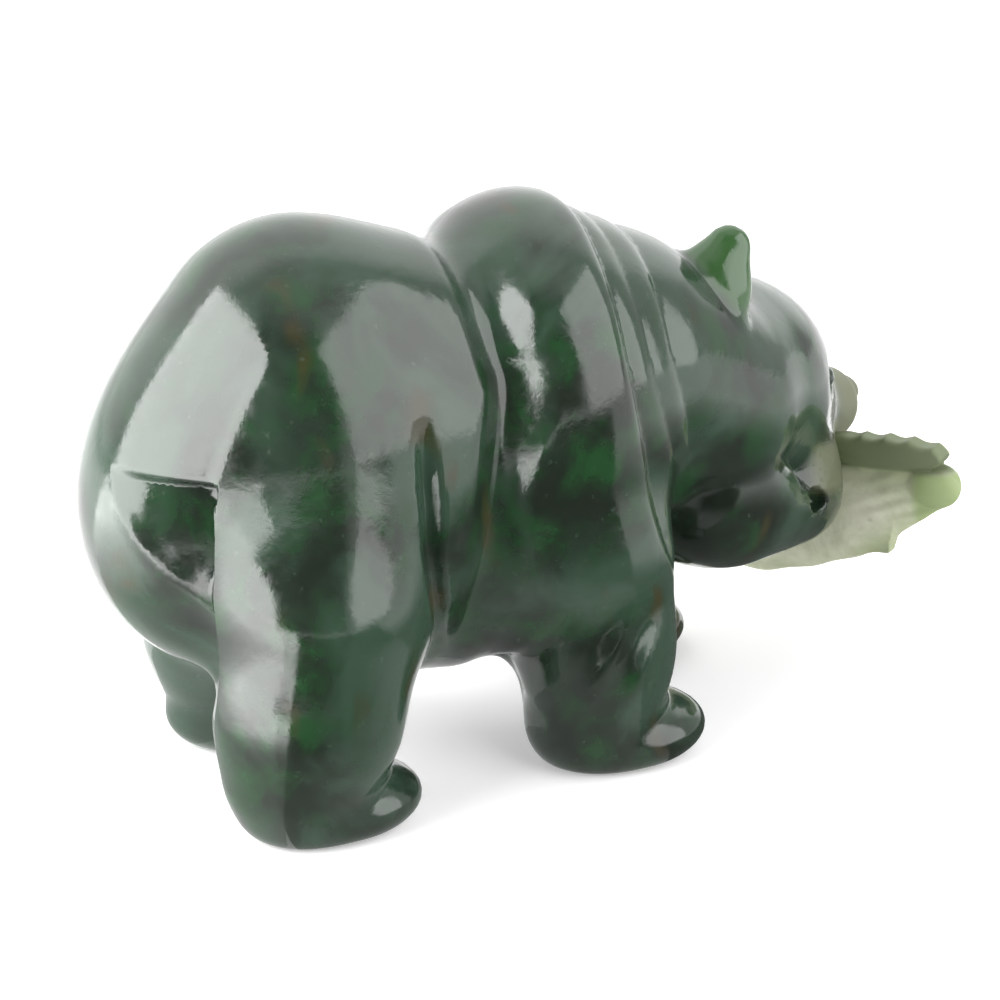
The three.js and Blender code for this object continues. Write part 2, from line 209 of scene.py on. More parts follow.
# Trunk and legs. A leg is an egg at its top, a pillar down to the ground and a foot, each with
# its place from the middle line outwards.
right, left = -1, 1
rightThigh = {"at": (7, 12, 50), "radii": (18, 15.5, 32)}
leftThigh = {"at": (6, 14, 50), "radii": (19, 17, 32)}
arm = {"at": (50, 13, 52), "radii": (17, 16, 32)}
foot = {"z": 4.2, "radii": (15, 12, 6.2)}
legs = [
    {
        "side": right, "top": rightThigh, "foot": (4.5, 19.8),
        "pillar": [(7, 14, 48, 14), (4, 17, 36, 15.6), (0.4, 19.4, 20, 14), (-2, 20.3, 10, 11.9)],
    },
    {
        "side": left, "top": leftThigh, "foot": (8, 18.5),
        "pillar": [(5, 17, 34, 14), (4, 19, 20, 13), (5, 19, 9, 11)],
    },
    {
        "side": right, "top": arm, "foot": (59, 18.5),
        "pillar": [(54, 16, 36, 14.5), (54, 18, 20, 12), (53.5, 18, 9, 11.5)],
    },
    {
        "side": left, "top": arm, "foot": (77, 18.5),
        "pillar": [(64, 16, 36, 13.5), (70, 18, 20, 12), (72, 18, 9, 11)],
    },
]
masses = [  # each with the fillet that joins it on
    (egg((9, 1.5, 60), (28, 26, 36)), 1),
    (egg((0, 4, 50), (27, 24, 30)), 8),
    (egg((31, 0, 51), (29, 25, 36.5)), 14),
    (egg((50, 0, 64), (23, 26, 30.5)), 5),
    (limb([(62, 1, 62, 25), (84, 4, 52, 20)], 6), 6),
]
for leg in legs:
    side = leg["side"]
    topX, topY, topZ = leg["top"]["at"]
    footX, footY = leg["foot"]
    masses.append((egg((topX, side * topY, topZ), leg["top"]["radii"]), 8))
    masses.append((limb([(x, side * y, z, r) for x, y, z, r in leg["pillar"]], 7), 7))
    masses.append((egg((footX, side * footY, foot["z"]), foot["radii"]), 3))

# Lines of the carving, seen from the side, except the rump's, seen from behind
waist = line([(35.5, 112), (35.6, 79), (36.6, 70), (33.8, 60), (31, 41), (29, 24), (28, 4)])
thighLine = line([(18.5, 70), (18.8, 55), (19.7, 42), (26, 18)])
neckFolds = [  # line, depth, and how far the step runs forward
    (line([(59.5, 100), (56, 84), (56.2, 68), (59.3, 53), (63, 39), (68, 30)]), 1.3, 8),
    (line([(62, 96), (60.5, 80), (61.5, 67), (67, 52), (77, 38)]), 0.45, 6),
    (line([(69, 92), (66, 75), (68, 63), (73, 48), (80, 38)]), 0.65, 6),
]
scoops = [
    line([(47, 34), (42.5, 24), (38, 12)]),
    line([(53, 36), (46, 21), (40.5, 5)]),
    line([(59, 33), (51.5, 19), (45, 5)]),
]
rearEdge = line([(1, 64), (-6, 53), (-11, 46.5), (-15.5, 41), (-20, 37)])

# The head has a frame of its own: x towards the nose, y to its left, z to the crown
headPlace = {"at": (90, 6, 46), "roll": -8, "pitch": 14, "yaw": 25}
headTurn = Euler([math.radians(headPlace[n]) for n in ("roll", "pitch", "yaw")], "XYZ")
headMatrix = Matrix.Translation(headPlace["at"]) @ headTurn.to_matrix().to_4x4()
toHead = np.array(headMatrix.inverted())
pair = (-1, 1)
cheekLine = line([(-25, 7), (-17, 3.2), (-9, -0.8), (-2, -3.8), (6, -6.5), (11, -9.8), (15, -14)])
cheekCrease = {"deep": 3.8, "slow": 5, "fast": 2, "blunt": 0.8}
crown = [(egg((-2, 0, 4), (19, 18, 21)), 1), (egg((10, 0, 5), (17, 16, 18)), 8)]
muzzle = rod((16, 0, 0), (37.5, 0, 0.5), 10.4, 7)
lips = [rod((13, s * 6.6, -6.5), (26, s * 4.8, -8), 5, 3.7) for s in pair]
jowls = [rod((-6, s * 4, -12.5), (20, s * 5.5, -13.5), 10.8, 7) for s in pair]
jaws = [rod((3, s * 3, -15.5), (27, s * 4.5, -16.5), 9.5, 5) for s in pair]
earBack = (-0.9, 0.43)  # the way that an ear's back faces
earPressed = 0.6
earStations = [(-19, 7.6, 15, 8.5), (-17.6, 10.3, 23, 6.6), (-15.8, 12.9, 30.2, 3.8)]
ears = [limb([(x, s * y, z, r) for x, y, z, r in earStations], 3) for s in pair]
earHollows = [egg((-10.5, s * 10.5, 24), (5.2, 5.5, 8.5)) for s in pair]
sockets = [egg((19.5, s * 13.5, 7.5), (4.2, 3.6, 3.4)) for s in pair]
eyes = [egg((17.8, s * 11.6, 7), (2.6, 2.6, 2.4)) for s in pair]
nose = egg((43.2, 0, 2.6), (3.4, 4.4, 3.2))
nostrils = [egg((46.4, s * 2.2, 2.4), (1.6, 1.1, 1.2)) for s in pair]
mouthCorners = [egg((14.5, s * 13.2, -14.4), (3.2, 2.8, 2)) for s in pair]


def head(p):
    q = [sum(toHead[n, m] * p[m] for m in range(3)) + toHead[n, 3] for n in range(3)]
    offMiddle = np.clip((np.abs(q[1]) - 4) / 4, 0, 1)
    d = crown[0][0](q)
    d = join(d, crown[1][0](q), crown[1][1])
    d = join(d, muzzle(q), 7)
    d = join(d, join(lips[0](q), lips[1](q), 3), 4)
    cheeks = join(jowls[0](q), jowls[1](q), 4)
    chin = join(jaws[0](q), jaws[1](q), 4)
    d = join(d, join(chin, cheeks, 8), 9)
    gap, side, share = beside(cheekLine, q[0], q[2])
    fade = smooth(share, 0, 0.15) * (1 - smooth(share, 0.8, 1)) * offMiddle
    d = d + fade * step(gap, side, **cheekCrease)
    for s, ear, hollow in zip(pair, ears, earHollows):
        off = earPressed * ((q[0] + 17) * earBack[0] + (q[1] - s * 11) * s * earBack[1])
        flat = [q[0] + off * earBack[0], q[1] + off * s * earBack[1], q[2]]
        d = cut(join(d, 0.8 * ear(flat), 2), hollow(q), 1)
    for socket, eye in zip(sockets, eyes):
        d = join(cut(d, socket(q), 1.8), eye(q), 0.6)
    d = join(d, nose(q), 1)
    for dent in nostrils + mouthCorners:
        d = cut(d, dent(q), 0.6)
    return d


waistGroove = {"wide": 6.5, "deep": 2.2}
thighGroove = {"wide": 3, "deep": 2.1}
scoopGroove = {"wide": 3.8, "deep": 0.5}
foldEdge = {"fast": 1.1, "blunt": 0.5}


# How deep the flanks are carved
def flankCarving(p):
    x, y, z = p
    offMiddle = np.clip((np.abs(y) - 2) / 6, 0, 1)
    depth = groove(waist, x, z, **waistGroove)
    depth += groove(thighLine, x, z, **thighGroove) * offMiddle
    aboveArm = np.clip((z - 32) / 8, 0, 1) * smooth(x, 38, 48)
    for path, deep, slow in neckFolds:
        gap, side, _ = beside(path, x, z)
        depth += aboveArm * step(gap, side, deep, slow, **foldEdge)
    outer = smooth(np.abs(y), 9, 13) * np.where(y < 0, 2.2, 1.4)
    for path in scoops:
        depth += outer * groove(path, x, z, **scoopGroove)
    return depth


rearWedge = {"slope": 0.45, "deepest": 4}
rearHollow = 3
rearBead = {"high": 0.4, "wide": 1.3}


# A wedge cut between the buttock's ridge and the haunch, deepest beside the haunch, with a
# bead along its edge and a hollow below that sets the leg off
def rearCarving(p):
    x, y, z = p
    gap, side, _ = beside(rearEdge, y, z)
    within = np.clip((-4 - x) / 5, 0, 1) * smooth(y, -17.8, -16)
    wedge = (side < 0) * np.minimum(rearWedge["slope"] * gap, rearWedge["deepest"])
    wedge = wedge * (1 - smooth(z, 59.3, 61.7))
    hollow = rearHollow * (1 - smooth(y, -15, -3)) * smooth(z, 18, 27) * (1 - smooth(z, 33, 46))
    bead = rearBead["high"] * np.exp(-(gap / rearBead["wide"]) ** 2)
    bead = bead * smooth(y, -17, -15) * (1 - smooth(z, 54, 59))
    return within * (-join(-wedge, -hollow, 1.5)) - bead


# Works a form out only at some of the points, and leaves the others as they are
def onlyAt(chosen, p, d, form):
    made = d.copy()
    made[chosen] = form([v[chosen] for v in p], d[chosen])
    return made


def bear(p):
    d = masses[0][0](p)
    for form, fillet in masses[1:]:
        d = join(d, form(p), fillet)
    x, y, z = p
    d = onlyAt((np.abs(d) < 6) & (x > 10), p, d, lambda q, e: e + flankCarving(q))
    d = onlyAt((np.abs(d) < 6) & (x < -4), p, d, lambda q, e: e + rearCarving(q))
    nearHead = (x - 96) ** 2 + (y - 9) ** 2 + (z - 42) ** 2 < 52 ** 2
    d = onlyAt(nearHead, p, d, lambda q, e: join(e, head(q), 2))
    return cut(d, z, 1.2)


# The salmon lies across the mouth. Its frame: x along it towards the tail, y across, z up. Its
# back fin stands out from its side like a leaf, with a scalloped upper edge.
fishPlace = Matrix.Translation((118, 18, 29)) @ Matrix.Rotation(math.radians(-58), 4, "Z")
fishFlat = 0.58  # how thick it is for its depth
fishStations = [
    (-36, -14.5, 3), (-30, -15, 5.4), (-20, -15.4, 7.6), (-8, -14.3, 8.1), (0, -11.8, 8.2),
    (8, -9, 7.7), (14, -6, 6.3), (20, -3.4, 4.4), (26.4, -0.8, 3.3),
]
fishBack = [(-30, -9, 5), (-8, -5, 5.6), (6, -3.6, 5.4), (18, -1, 4.3), (27, 0.8, 3)]
fishRods = [
    rod((a[0], 0, a[1]), (b[0], 0, b[1]), a[2], b[2])
    for stations in (fishStations, fishBack) for a, b in zip(stations, stations[1:])
]
tailLobe = egg((26, -1.6, 0), (5, 2.7, 3.5))
finPit = egg((5.6, -4.8, 3.6), (2.2, 1.5, 1.3))
backFin = {
    "from": 3, "to": 28, "base": 3.6, "rise": 2.6, "tall": 3.2,
    "side": -1.3, "half": 2.4, "notch": 4.6, "scallop": 0.7,
}
ventFin = {"x": 15.5, "half": 2.4, "thick": 1.5, "top": -7, "bottom": -14.5}
finRays = {"high": 0.14, "often": 2.1, "lean": 0.42}


def leafFin(x, y, z):
    fin = backFin
    along = (x - fin["from"]) / (fin["to"] - fin["from"])
    centre = fin["base"] + fin["rise"] * along
    half = fin["tall"] * np.clip(4 * along * (1 - along), 0, 1) ** 0.4
    scallop = np.abs(np.sin(math.pi * (x - fin["from"]) / fin["notch"]))
    scallop = fin["scallop"] * scallop * smooth(x, 8, 12)
    ends = np.maximum(fin["from"] - 1 - x, x - fin["to"])
    leaf = np.maximum(np.abs(z - centre) - half + scallop * (z > centre), ends)
    wall = np.abs(y - fin["side"]) - fin["half"] + 0.06 * (z - centre) ** 2
    return -join(-leaf, -wall, 1) * 0.75


def fish(p):
    x, y, z = p
    flat = [x, y / fishFlat, z]
    d = fishRods[0](flat)
    for r in fishRods[1:]:
        d = join(d, r(flat), 3)
    d = d * 0.7
    rays = finRays["high"] * np.sin(finRays["often"] * (z - finRays["lean"] * x))
    d = d + rays * smooth(x, 10, 16) * smooth(z, -8, -5) * (np.abs(y) > 1)
    vent = np.maximum.reduce([
        np.abs(x - ventFin["x"]) - ventFin["half"], np.abs(y) - ventFin["thick"],
        ventFin["bottom"] - z, z - ventFin["top"],
    ])
    d = join(d, vent * 0.8, 1.5)
    d = join(d, tailLobe(p), 0.6)
    d = join(d, leafFin(x, y, z), 0.7)
    return cut(d, finPit(p), 0.6)


# Grid lines from one place to another, each a step after the last
def gridLines(low, high, stepAt):
    places = [low]
    while places[-1] < high:
        places.append(places[-1] + stepAt(places[-1]))
    return np.array(places)


# A field's values on a grid, worked out only near the surface: elsewhere a value from the
# middle of a block of cells is enough
def valuesOn(field, lines, block=6, reach=9.0):
    at = [np.arange(len(v)) // block for v in lines]
    middles = [np.array([v[a == n].mean() for n in range(a[-1] + 1)]) for v, a in zip(lines, at)]
    coarse = field([v.ravel() for v in np.meshgrid(*middles, indexing="ij")])
    coarse = coarse.reshape([len(v) for v in middles])
    values = coarse[np.ix_(*at)]
    near = np.abs(values) < reach
    values[near] = field([v[near] for v in np.meshgrid(*lines, indexing="ij")])
    return values


# Which way a field grows, and how fast
def slopeOf(field, p, e=0.04):
    made = []
    for n in range(3):
        ahead = [v + e if m == n else v for m, v in enumerate(p)]
        behind = [v - e if m == n else v for m, v in enumerate(p)]
        made.append((field(ahead) - field(behind)) / (2 * e))
    return np.array(made)


# The surface of a field: a vertex in every cell that it passes through, moved onto it
def surfaceOf(field, lines):
    values = valuesOn(field, lines)
    inside = values < 0
    nx, ny, nz = values.shape

    def corner(a, i, j, k):
        return a[i:nx - 1 + i, j:ny - 1 + j, k:nz - 1 + k]

    corners = [(i, j, k) for i in (0, 1) for j in (0, 1) for k in (0, 1)]
    count = sum(corner(inside, *c).astype(np.int8) for c in corners)
    cells = (count > 0) & (count < 8)
    number = np.full(cells.shape, -1)
    number[cells] = np.arange(int(cells.sum()))
    where = np.argwhere(cells)
    low = np.array([lines[n][where[:, n]] for n in range(3)])
    size = np.array([lines[n][where[:, n] + 1] for n in range(3)]) - low
    total = np.zeros(low.shape)
    hits = np.zeros(len(where))
    for axis in range(3):
        for c in corners:
            if c[axis]:
                continue
            far = tuple(1 if n == axis else v for n, v in enumerate(c))
            a, b = corner(values, *c)[cells], corner(values, *far)[cells]
            crossed = (a < 0) != (b < 0)
            t = np.where(crossed, a / np.where(crossed, a - b, 1), 0)
            for n in range(3):
                total[n] += crossed * (t if n == axis else c[n])
            hits += crossed
    points = low + total / hits * size
    for turn in range(3):
        d, slope = field(list(points)), slopeOf(field, list(points))
        move = d * slope / np.maximum((slope ** 2).sum(0), 1e-6)
        points = np.clip(points - move, low + 0.04 * size, low + 0.96 * size)
    faces = []
    for axis in range(3):
        u, v = (axis + 1) % 3, (axis + 2) % 3
        core = [slice(1, n - 1) for n in values.shape]
        core[axis] = slice(0, values.shape[axis] - 1)
        ahead = list(core)
        ahead[axis] = slice(1, values.shape[axis])
        here, there = inside[tuple(core)], inside[tuple(ahead)]
        at = np.argwhere(here != there)
        at[:, u] += 1
        at[:, v] += 1
        turned = ~inside[tuple(at.T)]
        ring = []
        for du, dv in ((1, 1), (0, 1), (0, 0), (1, 0)):
            cell = at.copy()
            cell[:, u] -= du
            cell[:, v] -= dv
            ring.append(number[tuple(cell.T)])
        ring = np.array(ring).T
        ring[turned] = ring[turned][:, ::-1]
        faces.append(ring)
    return points, np.concatenate(faces)


def meshOf(name, points, faces, normals):
    mesh = bpy.data.meshes.new(name)
    mesh.from_pydata(points.T.tolist(), [], faces.tolist())
    mesh.update()
    mesh.shade_smooth()
    mesh.normals_split_custom_set_from_vertices(normals.T.tolist())
    piece = bpy.data.objects.new(name, mesh)
    bpy.context.scene.collection.objects.link(piece)
    return piece


def unitVectors(v):
    return v / np.maximum(np.sqrt((v ** 2).sum(0)), 1e-9)


def cellAlong(x):
    share = float(smooth(x, bodyCell["from"], bodyCell["to"]))
    return bodyCell["x"] + (bodyCell["headX"] - bodyCell["x"]) * share


bearPoints, bearFaces = surfaceOf(bear, [
    gridLines(-32, 136, cellAlong),
    gridLines(-36, 42, lambda y: bodyCell["y"]),
    gridLines(-1.5 * bodyCell["z"], 102, lambda z: bodyCell["z"]),
])
bearNormals = unitVectors(slopeOf(bear, list(bearPoints)))
print("bear", bearPoints.shape[1], "points", 2 * len(bearFaces), "triangles")

fishPoints, fishFaces = surfaceOf(fish, [
    gridLines(-42, 33, lambda x: fishCell),
    gridLines(-8, 8, lambda y: fishCell),
    gridLines(-27, 12, lambda z: fishCell),
])
fishNormals = unitVectors(slopeOf(fish, list(fishPoints)))
print("salmon", fishPoints.shape[1], "points", 2 * len(fishFaces), "triangles")

turn = np.array(fishPlace)
fishWorld = turn[:3, :3] @ fishPoints + turn[:3, 3:]
lowest = np.minimum(bearPoints.min(1), fishWorld.min(1))
highest = np.maximum(bearPoints.max(1), fishWorld.max(1))
cadLow, cadHigh = (np.array(v) for v in cadBox)
fit = ((cadHigh - cadLow) / (highest - lowest)).min()  # metres to a unit, inside the CAD's box


# From the grid to the part's frame
def placed(points):
    shift = (lowest + highest) / 2
    shift[2] = lowest[2]
    base = (cadLow + cadHigh) / 2
    base[2] = cadLow[2]
    return (points - shift[:, None]) * fit + base[:, None]


# How thin the stone is behind each point: 1 where light would come through, 0 in the body
def thinnessOf(field, points, normals, depth):
    behind = field(list(points - depth * normals))
    return 1 - np.clip((-behind - 0.25 * depth) / (0.7 * depth), 0, 1)


def setAttribute(piece, name, values):
    attribute = piece.data.attributes.new(name, "FLOAT", "POINT")
    attribute.data.foreach_set("value", np.asarray(values, dtype=np.float32))


bearPiece = meshOf("polishedBear", placed(bearPoints), bearFaces, bearNormals)
fishPiece = meshOf("rawSalmon", placed(fishWorld), fishFaces, turn[:3, :3] @ fishNormals)

# Painted glow where the stone is thin, where it is left matt, and painted shade on the salmon's fin
inHead = toHead[:3, :3] @ bearPoints + toHead[:3, 3:]
inFish = turn[:3, :3].T @ (bearPoints - turn[:3, 3:])
beyondNeck = smooth(bearPoints[0], 62, 70)
# Painted glow: the thin ears are coloured brighter green for light coming through them
earGlow = thinnessOf(bear, bearPoints, bearNormals, 5.5) * smooth(inHead[2], 8, 16)
onMuzzle = smooth(inHead[0], 27, 35)
onLip = smooth(inHead[0], 12, 16) * smooth(inHead[2], -14.5, -12) * (1 - smooth(inHead[2], -6, -3))
byFish = (1 - smooth(fish(list(inFish)), 1, 4)) * smooth(inHead[0], 14, 20)
setAttribute(bearPiece, "thin", beyondNeck * earGlow)
setAttribute(bearPiece, "matt", np.maximum.reduce([onMuzzle, 0.8 * onLip, byFish]))
# Painted glow: the tail and thin edges of the salmon are coloured greener for light coming through
tailGlow = smooth(fishPoints[0], 21, 24) * (1 - smooth(fishPoints[2], 2.5, 3.5))
fishGlow = 0.5 * thinnessOf(fish, fishPoints, fishNormals, 4)
# Painted shade: the fin and the body above a line are darkened, on one side only
finShade = smooth(fishPoints[2] - 0.1 * fishPoints[0], -0.4, 0.8) * smooth(fishPoints[0], 1, 4)
setAttribute(fishPiece, "thin", np.maximum(tailGlow, fishGlow))
setAttribute(fishPiece, "fin", finShade * (fishPoints[1] < 0))


# An sRGB hex value as linear light
def linear(hexColor):
    made = []
    for n in (1, 3, 5):
        v = int(hexColor[n:n + 2], 16) / 255
        made.append(v / 12.92 if v <= 0.04045 else ((v + 0.055) / 1.055) ** 2.4)
    return (*made, 1.0)


# A node with its settings and what goes into it, a value or another node's output
def addNode(tree, kind, settings=None, inputs=None):
    node = tree.nodes.new(kind)
    for name, value in (settings or {}).items():
        setattr(node, name, value)
    for name, value in (inputs or {}).items():
        if isinstance(value, bpy.types.NodeSocket):
            tree.links.new(value, node.inputs[name])
        else:
            node.inputs[name].default_value = value
    return node


def emptyMaterial(name):
    material = bpy.data.materials.new(name)
    material.use_nodes = True
    material.node_tree.nodes.clear()
    return material, material.node_tree


def mixed(tree, factor, low, high):
    node = addNode(tree, "ShaderNodeMix", {"data_type": "RGBA"}, {0: factor})
    for socket, colour in ((6, low), (7, high)):
        if isinstance(colour, bpy.types.NodeSocket):
            tree.links.new(colour, node.inputs[socket])
        else:
            node.inputs[socket].default_value = colour
    return node.outputs[2]


def ranged(tree, value, low, high, to=(0, 1)):
    return addNode(tree, "ShaderNodeMapRange", {"interpolation_type": "SMOOTHSTEP"}, {
        "Value": value, "From Min": low, "From Max": high, "To Min": to[0], "To Max": to[1]}).outputs[0]


def noise(tree, place, size, detail=4.0, rough=0.55, distortion=0.0):
    return addNode(tree, "ShaderNodeTexNoise", None, {
        "Vector": place, "Scale": 1 / size, "Detail": detail, "Roughness": rough,
        "Distortion": distortion}).outputs["Fac"]


def times(tree, a, b):
    return addNode(tree, "ShaderNodeMath", {"operation": "MULTIPLY"}, {0: a, 1: b}).outputs[0]


# Polished nephrite: clouds and mottles of green in near-black stone, with brown veins and a
# grain that softens what the polish reflects. Thin edges get a painted green glow of light coming
# through them, and the muzzle is left raw.
def polishedNephrite():
    material, tree = emptyMaterial("nephritePolished")
    place = addNode(tree, "ShaderNodeTexCoord").outputs["Object"]
    clouds = noise(tree, place, stone["cloudSize"], 3.0, 0.5, 0.8)
    mottle = noise(tree, place, stone["mottleSize"], 6.0, 0.6, 0.3)
    specks = noise(tree, place, stone["speckSize"], 3.0, 0.6)
    colour = mixed(tree, ranged(tree, clouds, 0.36, 0.62), linear(stone["deep"]), linear(stone["mist"]))
    greener = times(tree, ranged(tree, mottle, 0.45, 0.68), ranged(tree, clouds, 0.66, 0.4))
    colour = mixed(tree, greener, colour, linear(stone["green"]))
    veins = addNode(tree, "ShaderNodeTexWave", {"wave_type": "BANDS", "bands_direction": "X"}, {
        "Vector": place, "Scale": 1 / stone["veinSize"], "Distortion": 7.0, "Detail": 3.0,
        "Detail Scale": 1.6}).outputs["Fac"]
    veined = ranged(tree, noise(tree, place, stone["cloudSize"] * 0.8, 2.0), 0.56, 0.72)
    browner = times(tree, ranged(tree, veins, 0.75, 1.0), veined)
    colour = mixed(tree, browner, colour, linear(stone["brown"]))
    colour = mixed(tree, ranged(tree, specks, 0.62, 0.8, (0, 0.35)), colour, linear(stone["speck"]))
    thin = addNode(tree, "ShaderNodeAttribute", {"attribute_name": "thin"}).outputs["Fac"]
    matt = addNode(tree, "ShaderNodeAttribute", {"attribute_name": "matt"}).outputs["Fac"]
    # Painted glow: where the stone is thin, light coming through it is painted on as green
    colour = mixed(tree, thin, colour, linear(stone["paintedGlow"]))
    colour = mixed(tree, matt, colour, linear(raw["lip"]))
    grain = noise(tree, place, stone["grainSize"], 4.0, 0.6)
    roughness = ranged(tree, grain, 0.3, 0.7, (stone["roughness"], stone["roughness"] * 2.2))
    roughness = addNode(tree, "ShaderNodeMix", None, {
        0: matt, 2: roughness, 3: raw["roughness"]}).outputs[0]
    bump = addNode(tree, "ShaderNodeBump", None, {
        "Height": mottle, "Strength": 0.25, "Distance": stone["wave"]})
    bump = addNode(tree, "ShaderNodeBump", None, {
        "Height": grain, "Strength": 0.3, "Distance": stone["grain"], "Normal": bump.outputs[0]})
    shader = addNode(tree, "ShaderNodeBsdfPrincipled", None, {
        "Base Color": colour, "Roughness": roughness, "IOR": stone["ior"], "Normal": bump.outputs[0]})
    addNode(tree, "ShaderNodeOutputMaterial", None, {"Surface": shader.outputs["BSDF"]})
    return material


# Raw nephrite: pale and dry where it isn't polished, with a painted green glow where it is thin
# enough to let light in, painted shade on one side of the fin, and a few grey-brown stains
def rawNephrite():
    material, tree = emptyMaterial("nephriteMatt")
    place = addNode(tree, "ShaderNodeTexCoord").outputs["Object"]
    mottle = noise(tree, place, stone["mottleSize"], 5.0, 0.65, 0.5)
    grain = noise(tree, place, stone["grainSize"], 4.0, 0.7)
    colour = mixed(tree, ranged(tree, mottle, 0.3, 0.7), linear(raw["pale"]), linear(raw["dull"]))
    # Painted glow: greener where light would come through thin stone
    thin = addNode(tree, "ShaderNodeAttribute", {"attribute_name": "thin"}).outputs["Fac"]
    colour = mixed(tree, thin, colour, linear(raw["thin"]))
    # Painted shade on one side of the fin and the body under it
    fin = addNode(tree, "ShaderNodeAttribute", {"attribute_name": "fin"}).outputs["Fac"]
    colour = mixed(tree, fin, colour, linear(raw["fin"]))
    stains = noise(tree, place, stone["mottleSize"] * 0.7, 2.0)
    colour = mixed(tree, ranged(tree, stains, 0.64, 0.74, (0, 0.6)), colour, linear(raw["stain"]))
    bump = addNode(tree, "ShaderNodeBump", None, {
        "Height": grain, "Strength": 0.5, "Distance": raw["grain"]})
    shader = addNode(tree, "ShaderNodeBsdfPrincipled", None, {
        "Base Color": colour, "Roughness": raw["roughness"], "IOR": stone["ior"],
        "Normal": bump.outputs[0]})
    addNode(tree, "ShaderNodeOutputMaterial", None, {"Surface": shader.outputs["BSDF"]})
    return material


bearPiece.data.materials.append(polishedNephrite())
fishPiece.data.materials.append(rawNephrite())

for piece in (bearPiece, fishPiece):
    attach(piece, "root")
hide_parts("bear_with_salmon")
print("materials on")

# White paper under and behind the carving, lit a little by itself so that it shows no horizon
floorHalf = 3
floorMesh = bpy.data.meshes.new("floor")
floorMesh.from_pydata([
    (-floorHalf, -floorHalf, 0), (floorHalf, -floorHalf, 0), (floorHalf, floorHalf, 0),
    (-floorHalf, floorHalf, 0),
], [], [(0, 1, 2, 3)])
floor = bpy.data.objects.new("floor", floorMesh)
bpy.context.scene.collection.objects.link(floor)
paper, paperTree = emptyMaterial("whitePaper")
paperShader = addNode(paperTree, "ShaderNodeBsdfPrincipled", None, {
    "Base Color": linear("#f4f4f4"), "Roughness": 0.8, "Emission Color": (1, 1, 1, 1),
    "Emission Strength": 0.3})
addNode(paperTree, "ShaderNodeOutputMaterial", None, {"Surface": paperShader.outputs["BSDF"]})
floorMesh.materials.append(paper)

# The camera of the photo, fitted to it. Angles in degrees, the rest in units.
view = {"azimuth": -28.5, "elevation": 22, "away": 680, "aim": (46, 0, 41)}
azimuth, elevation = math.radians(view["azimuth"]), math.radians(view["elevation"])
back = Vector((math.sin(azimuth) * math.cos(elevation), -math.cos(azimuth) * math.cos(elevation), 0))
back.z = math.sin(elevation)
aim = Vector((view["aim"][0] - middle[0], view["aim"][1] - middle[1], view["aim"][2])) * unit
aimDown = Vector((aim.x, aim.y, 0))
cameraData = bpy.data.cameras.new("camera")
cameraData.sensor_width = 36
cameraData.lens = 146.9  # a field of view of 14 degrees
cameraData.clip_start = 0.01
camera = bpy.data.objects.new("camera", cameraData)
camera.location = aim + back * view["away"] * unit
camera.rotation_euler = back.to_track_quat("Z", "Y").to_euler()
bpy.context.scene.collection.objects.link(camera)
bpy.context.scene.camera = camera


# A direction from the carving: its bearing from x and its rise from the ground, in degrees
def direction(bearing, rise=0):
    bearing, rise = math.radians(bearing), math.radians(rise)
    flat = math.cos(rise)
    return Vector((math.cos(bearing) * flat, math.sin(bearing) * flat, math.sin(rise)))


# A lit panel of the light tent, seen from the carving between two bearings and two heights, in
# degrees, with its brightness as white paper's
def panel(name, bearings, heights, brightness, away=0.5):
    width = 2 * away * math.tan(math.radians((bearings[1] - bearings[0]) / 2))
    tall = 2 * away * math.tan(math.radians((heights[1] - heights[0]) / 2))
    out = direction(sum(bearings) / 2, sum(heights) / 2)
    data = bpy.data.lights.new(name, "AREA")
    data.shape = "RECTANGLE"
    data.size, data.size_y = width, tall
    data.energy = brightness * math.pi * width * tall
    lamp = bpy.data.objects.new(name, data)
    lamp.location = out * away + Vector((0, 0, 0.03))
    lamp.rotation_euler = out.to_track_quat("Z", "Y").to_euler()
    bpy.context.scene.collection.objects.link(lamp)


panel("leftPanel", (150, 205), (-3, 46), 7.0)
panel("rightPanel", (-84, -22), (0, 58), 2.4)

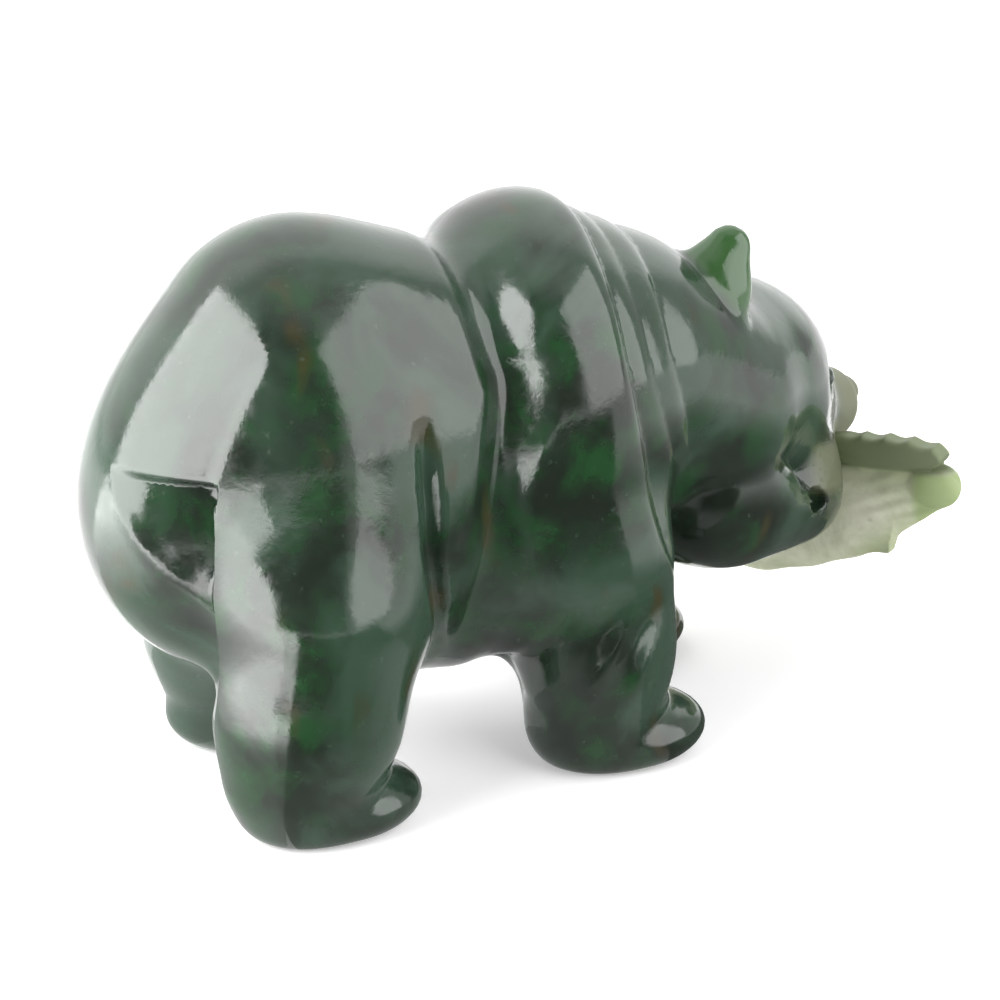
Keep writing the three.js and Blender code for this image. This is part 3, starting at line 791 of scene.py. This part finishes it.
# What lies round the carving outside the picture, flat on the ground and seen only by the
# polish: the dark room in front, paper in shade on the right and well-lit paper on the left.
# Corners are bearings in degrees and metres from the aim. The shine goes from one value to the
# other over the reach, in metres from the middle.
cards = {
    "darkRoom": {
        "corners": [(-152, 0.005), (-60, 0.005), (-60, 0.7), (-152, 0.7)],
        "shine": (0.45, 0.0), "reach": (0.045, 0.08),
    },
    "dimPaper": {
        "corners": [(-60, 0.005), (-20, 0.005), (20, 0.005), (20, 0.7), (-20, 0.9), (-60, 0.7)],
        "shine": (0.12, 1.3), "reach": (0.07, 0.15),
    },
    "brightPaper": {
        "corners": [(207, 0.04), (145, 0.04), (145, 0.7), (222, 0.7)],
        "shine": (0.9, 7.5), "reach": (0.07, 0.16),
    },
}
cardHigh = 0.0004  # above the ground, so that the floor doesn't hide it
for name, made in cards.items():
    corners = [aimDown + direction(bearing) * far for bearing, far in made["corners"]]
    cardMesh = bpy.data.meshes.new(name)
    cardMesh.from_pydata([(*c.xy, cardHigh) for c in corners], [], [list(range(len(corners)))])
    card = bpy.data.objects.new(name, cardMesh)
    bpy.context.scene.collection.objects.link(card)
    cardPaper, cardTree = emptyMaterial(name)
    spot = addNode(cardTree, "ShaderNodeVectorMath", {"operation": "LENGTH"}, {
        0: addNode(cardTree, "ShaderNodeTexCoord").outputs["Object"]}).outputs["Value"]
    strength = addNode(cardTree, "ShaderNodeMapRange", None, {
        "Value": spot, "From Min": made["reach"][0], "From Max": made["reach"][1],
        "To Min": made["shine"][0], "To Max": made["shine"][1]}).outputs[0]
    cardShader = addNode(cardTree, "ShaderNodeEmission", None, {"Strength": strength})
    addNode(cardTree, "ShaderNodeOutputMaterial", None, {"Surface": cardShader.outputs[0]})
    cardMesh.materials.append(cardPaper)
    card.visible_camera = card.visible_diffuse = card.visible_shadow = False
print("panels and cards up")

# The tent round them: pale, with a slit towards the camera, and plain white where it is seen
# directly
world = bpy.data.worlds.new("lightTent")
bpy.context.scene.world = world
world.use_nodes = True
tent = world.node_tree
tent.nodes.clear()
# The wall is dark in a slit towards the camera, the roof is lit overhead, and a soft patch
# behind the carving lies along a direction
slit = {"bearing": -120, "from": 31, "to": 36, "dark": 0.03, "lit": 0.7}
roof = {"from": 0.8, "to": 0.96, "lit": 0.9}
patch = {"bearing": 80, "flat": 0.9, "up": 0.42, "from": 0.25, "to": 0.65, "lit": 1.8}


def brighter(a, b):
    return addNode(tent, "ShaderNodeMath", {"operation": "MAXIMUM"}, {0: a, 1: b}).outputs[0]


ray = addNode(tent, "ShaderNodeTexCoord").outputs["Generated"]
rayParts = addNode(tent, "ShaderNodeSeparateXYZ", None, {0: ray}).outputs
rayBearing = addNode(tent, "ShaderNodeMath", {"operation": "ARCTAN2"}, {
    0: rayParts["Y"], 1: rayParts["X"]}).outputs[0]
fromSlit = addNode(tent, "ShaderNodeMath", {"operation": "SUBTRACT"}, {
    0: rayBearing, 1: math.radians(slit["bearing"])}).outputs[0]
offSlit = addNode(tent, "ShaderNodeMath", {"operation": "ABSOLUTE"}, {0: fromSlit}).outputs[0]
wallGlow = addNode(tent, "ShaderNodeMapRange", None, {
    "Value": offSlit, "From Min": math.radians(slit["from"]), "From Max": math.radians(slit["to"]),
    "To Min": slit["dark"], "To Max": slit["lit"]}).outputs[0]
roofGlow = addNode(tent, "ShaderNodeMapRange", None, {
    "Value": rayParts["Z"], "From Min": roof["from"], "From Max": roof["to"],
    "To Min": 0.0, "To Max": roof["lit"]}).outputs[0]
alongPatch = addNode(tent, "ShaderNodeVectorMath", {"operation": "DOT_PRODUCT"}, {
    0: ray, 1: (*(direction(patch["bearing"]) * patch["flat"]).xy, patch["up"])}).outputs["Value"]
patchGlow = ranged(tent, alongPatch, patch["from"], patch["to"], (0.0, patch["lit"]))
seenDirectly = addNode(tent, "ShaderNodeLightPath").outputs["Is Camera Ray"]
shown = brighter(brighter(brighter(wallGlow, roofGlow), patchGlow), seenDirectly)
background = addNode(tent, "ShaderNodeBackground", None, {"Color": (1, 1, 1, 1), "Strength": shown})
addNode(tent, "ShaderNodeOutputWorld", None, {"Surface": background.outputs[0]})
bpy.context.scene.view_settings.view_transform = "Standard"
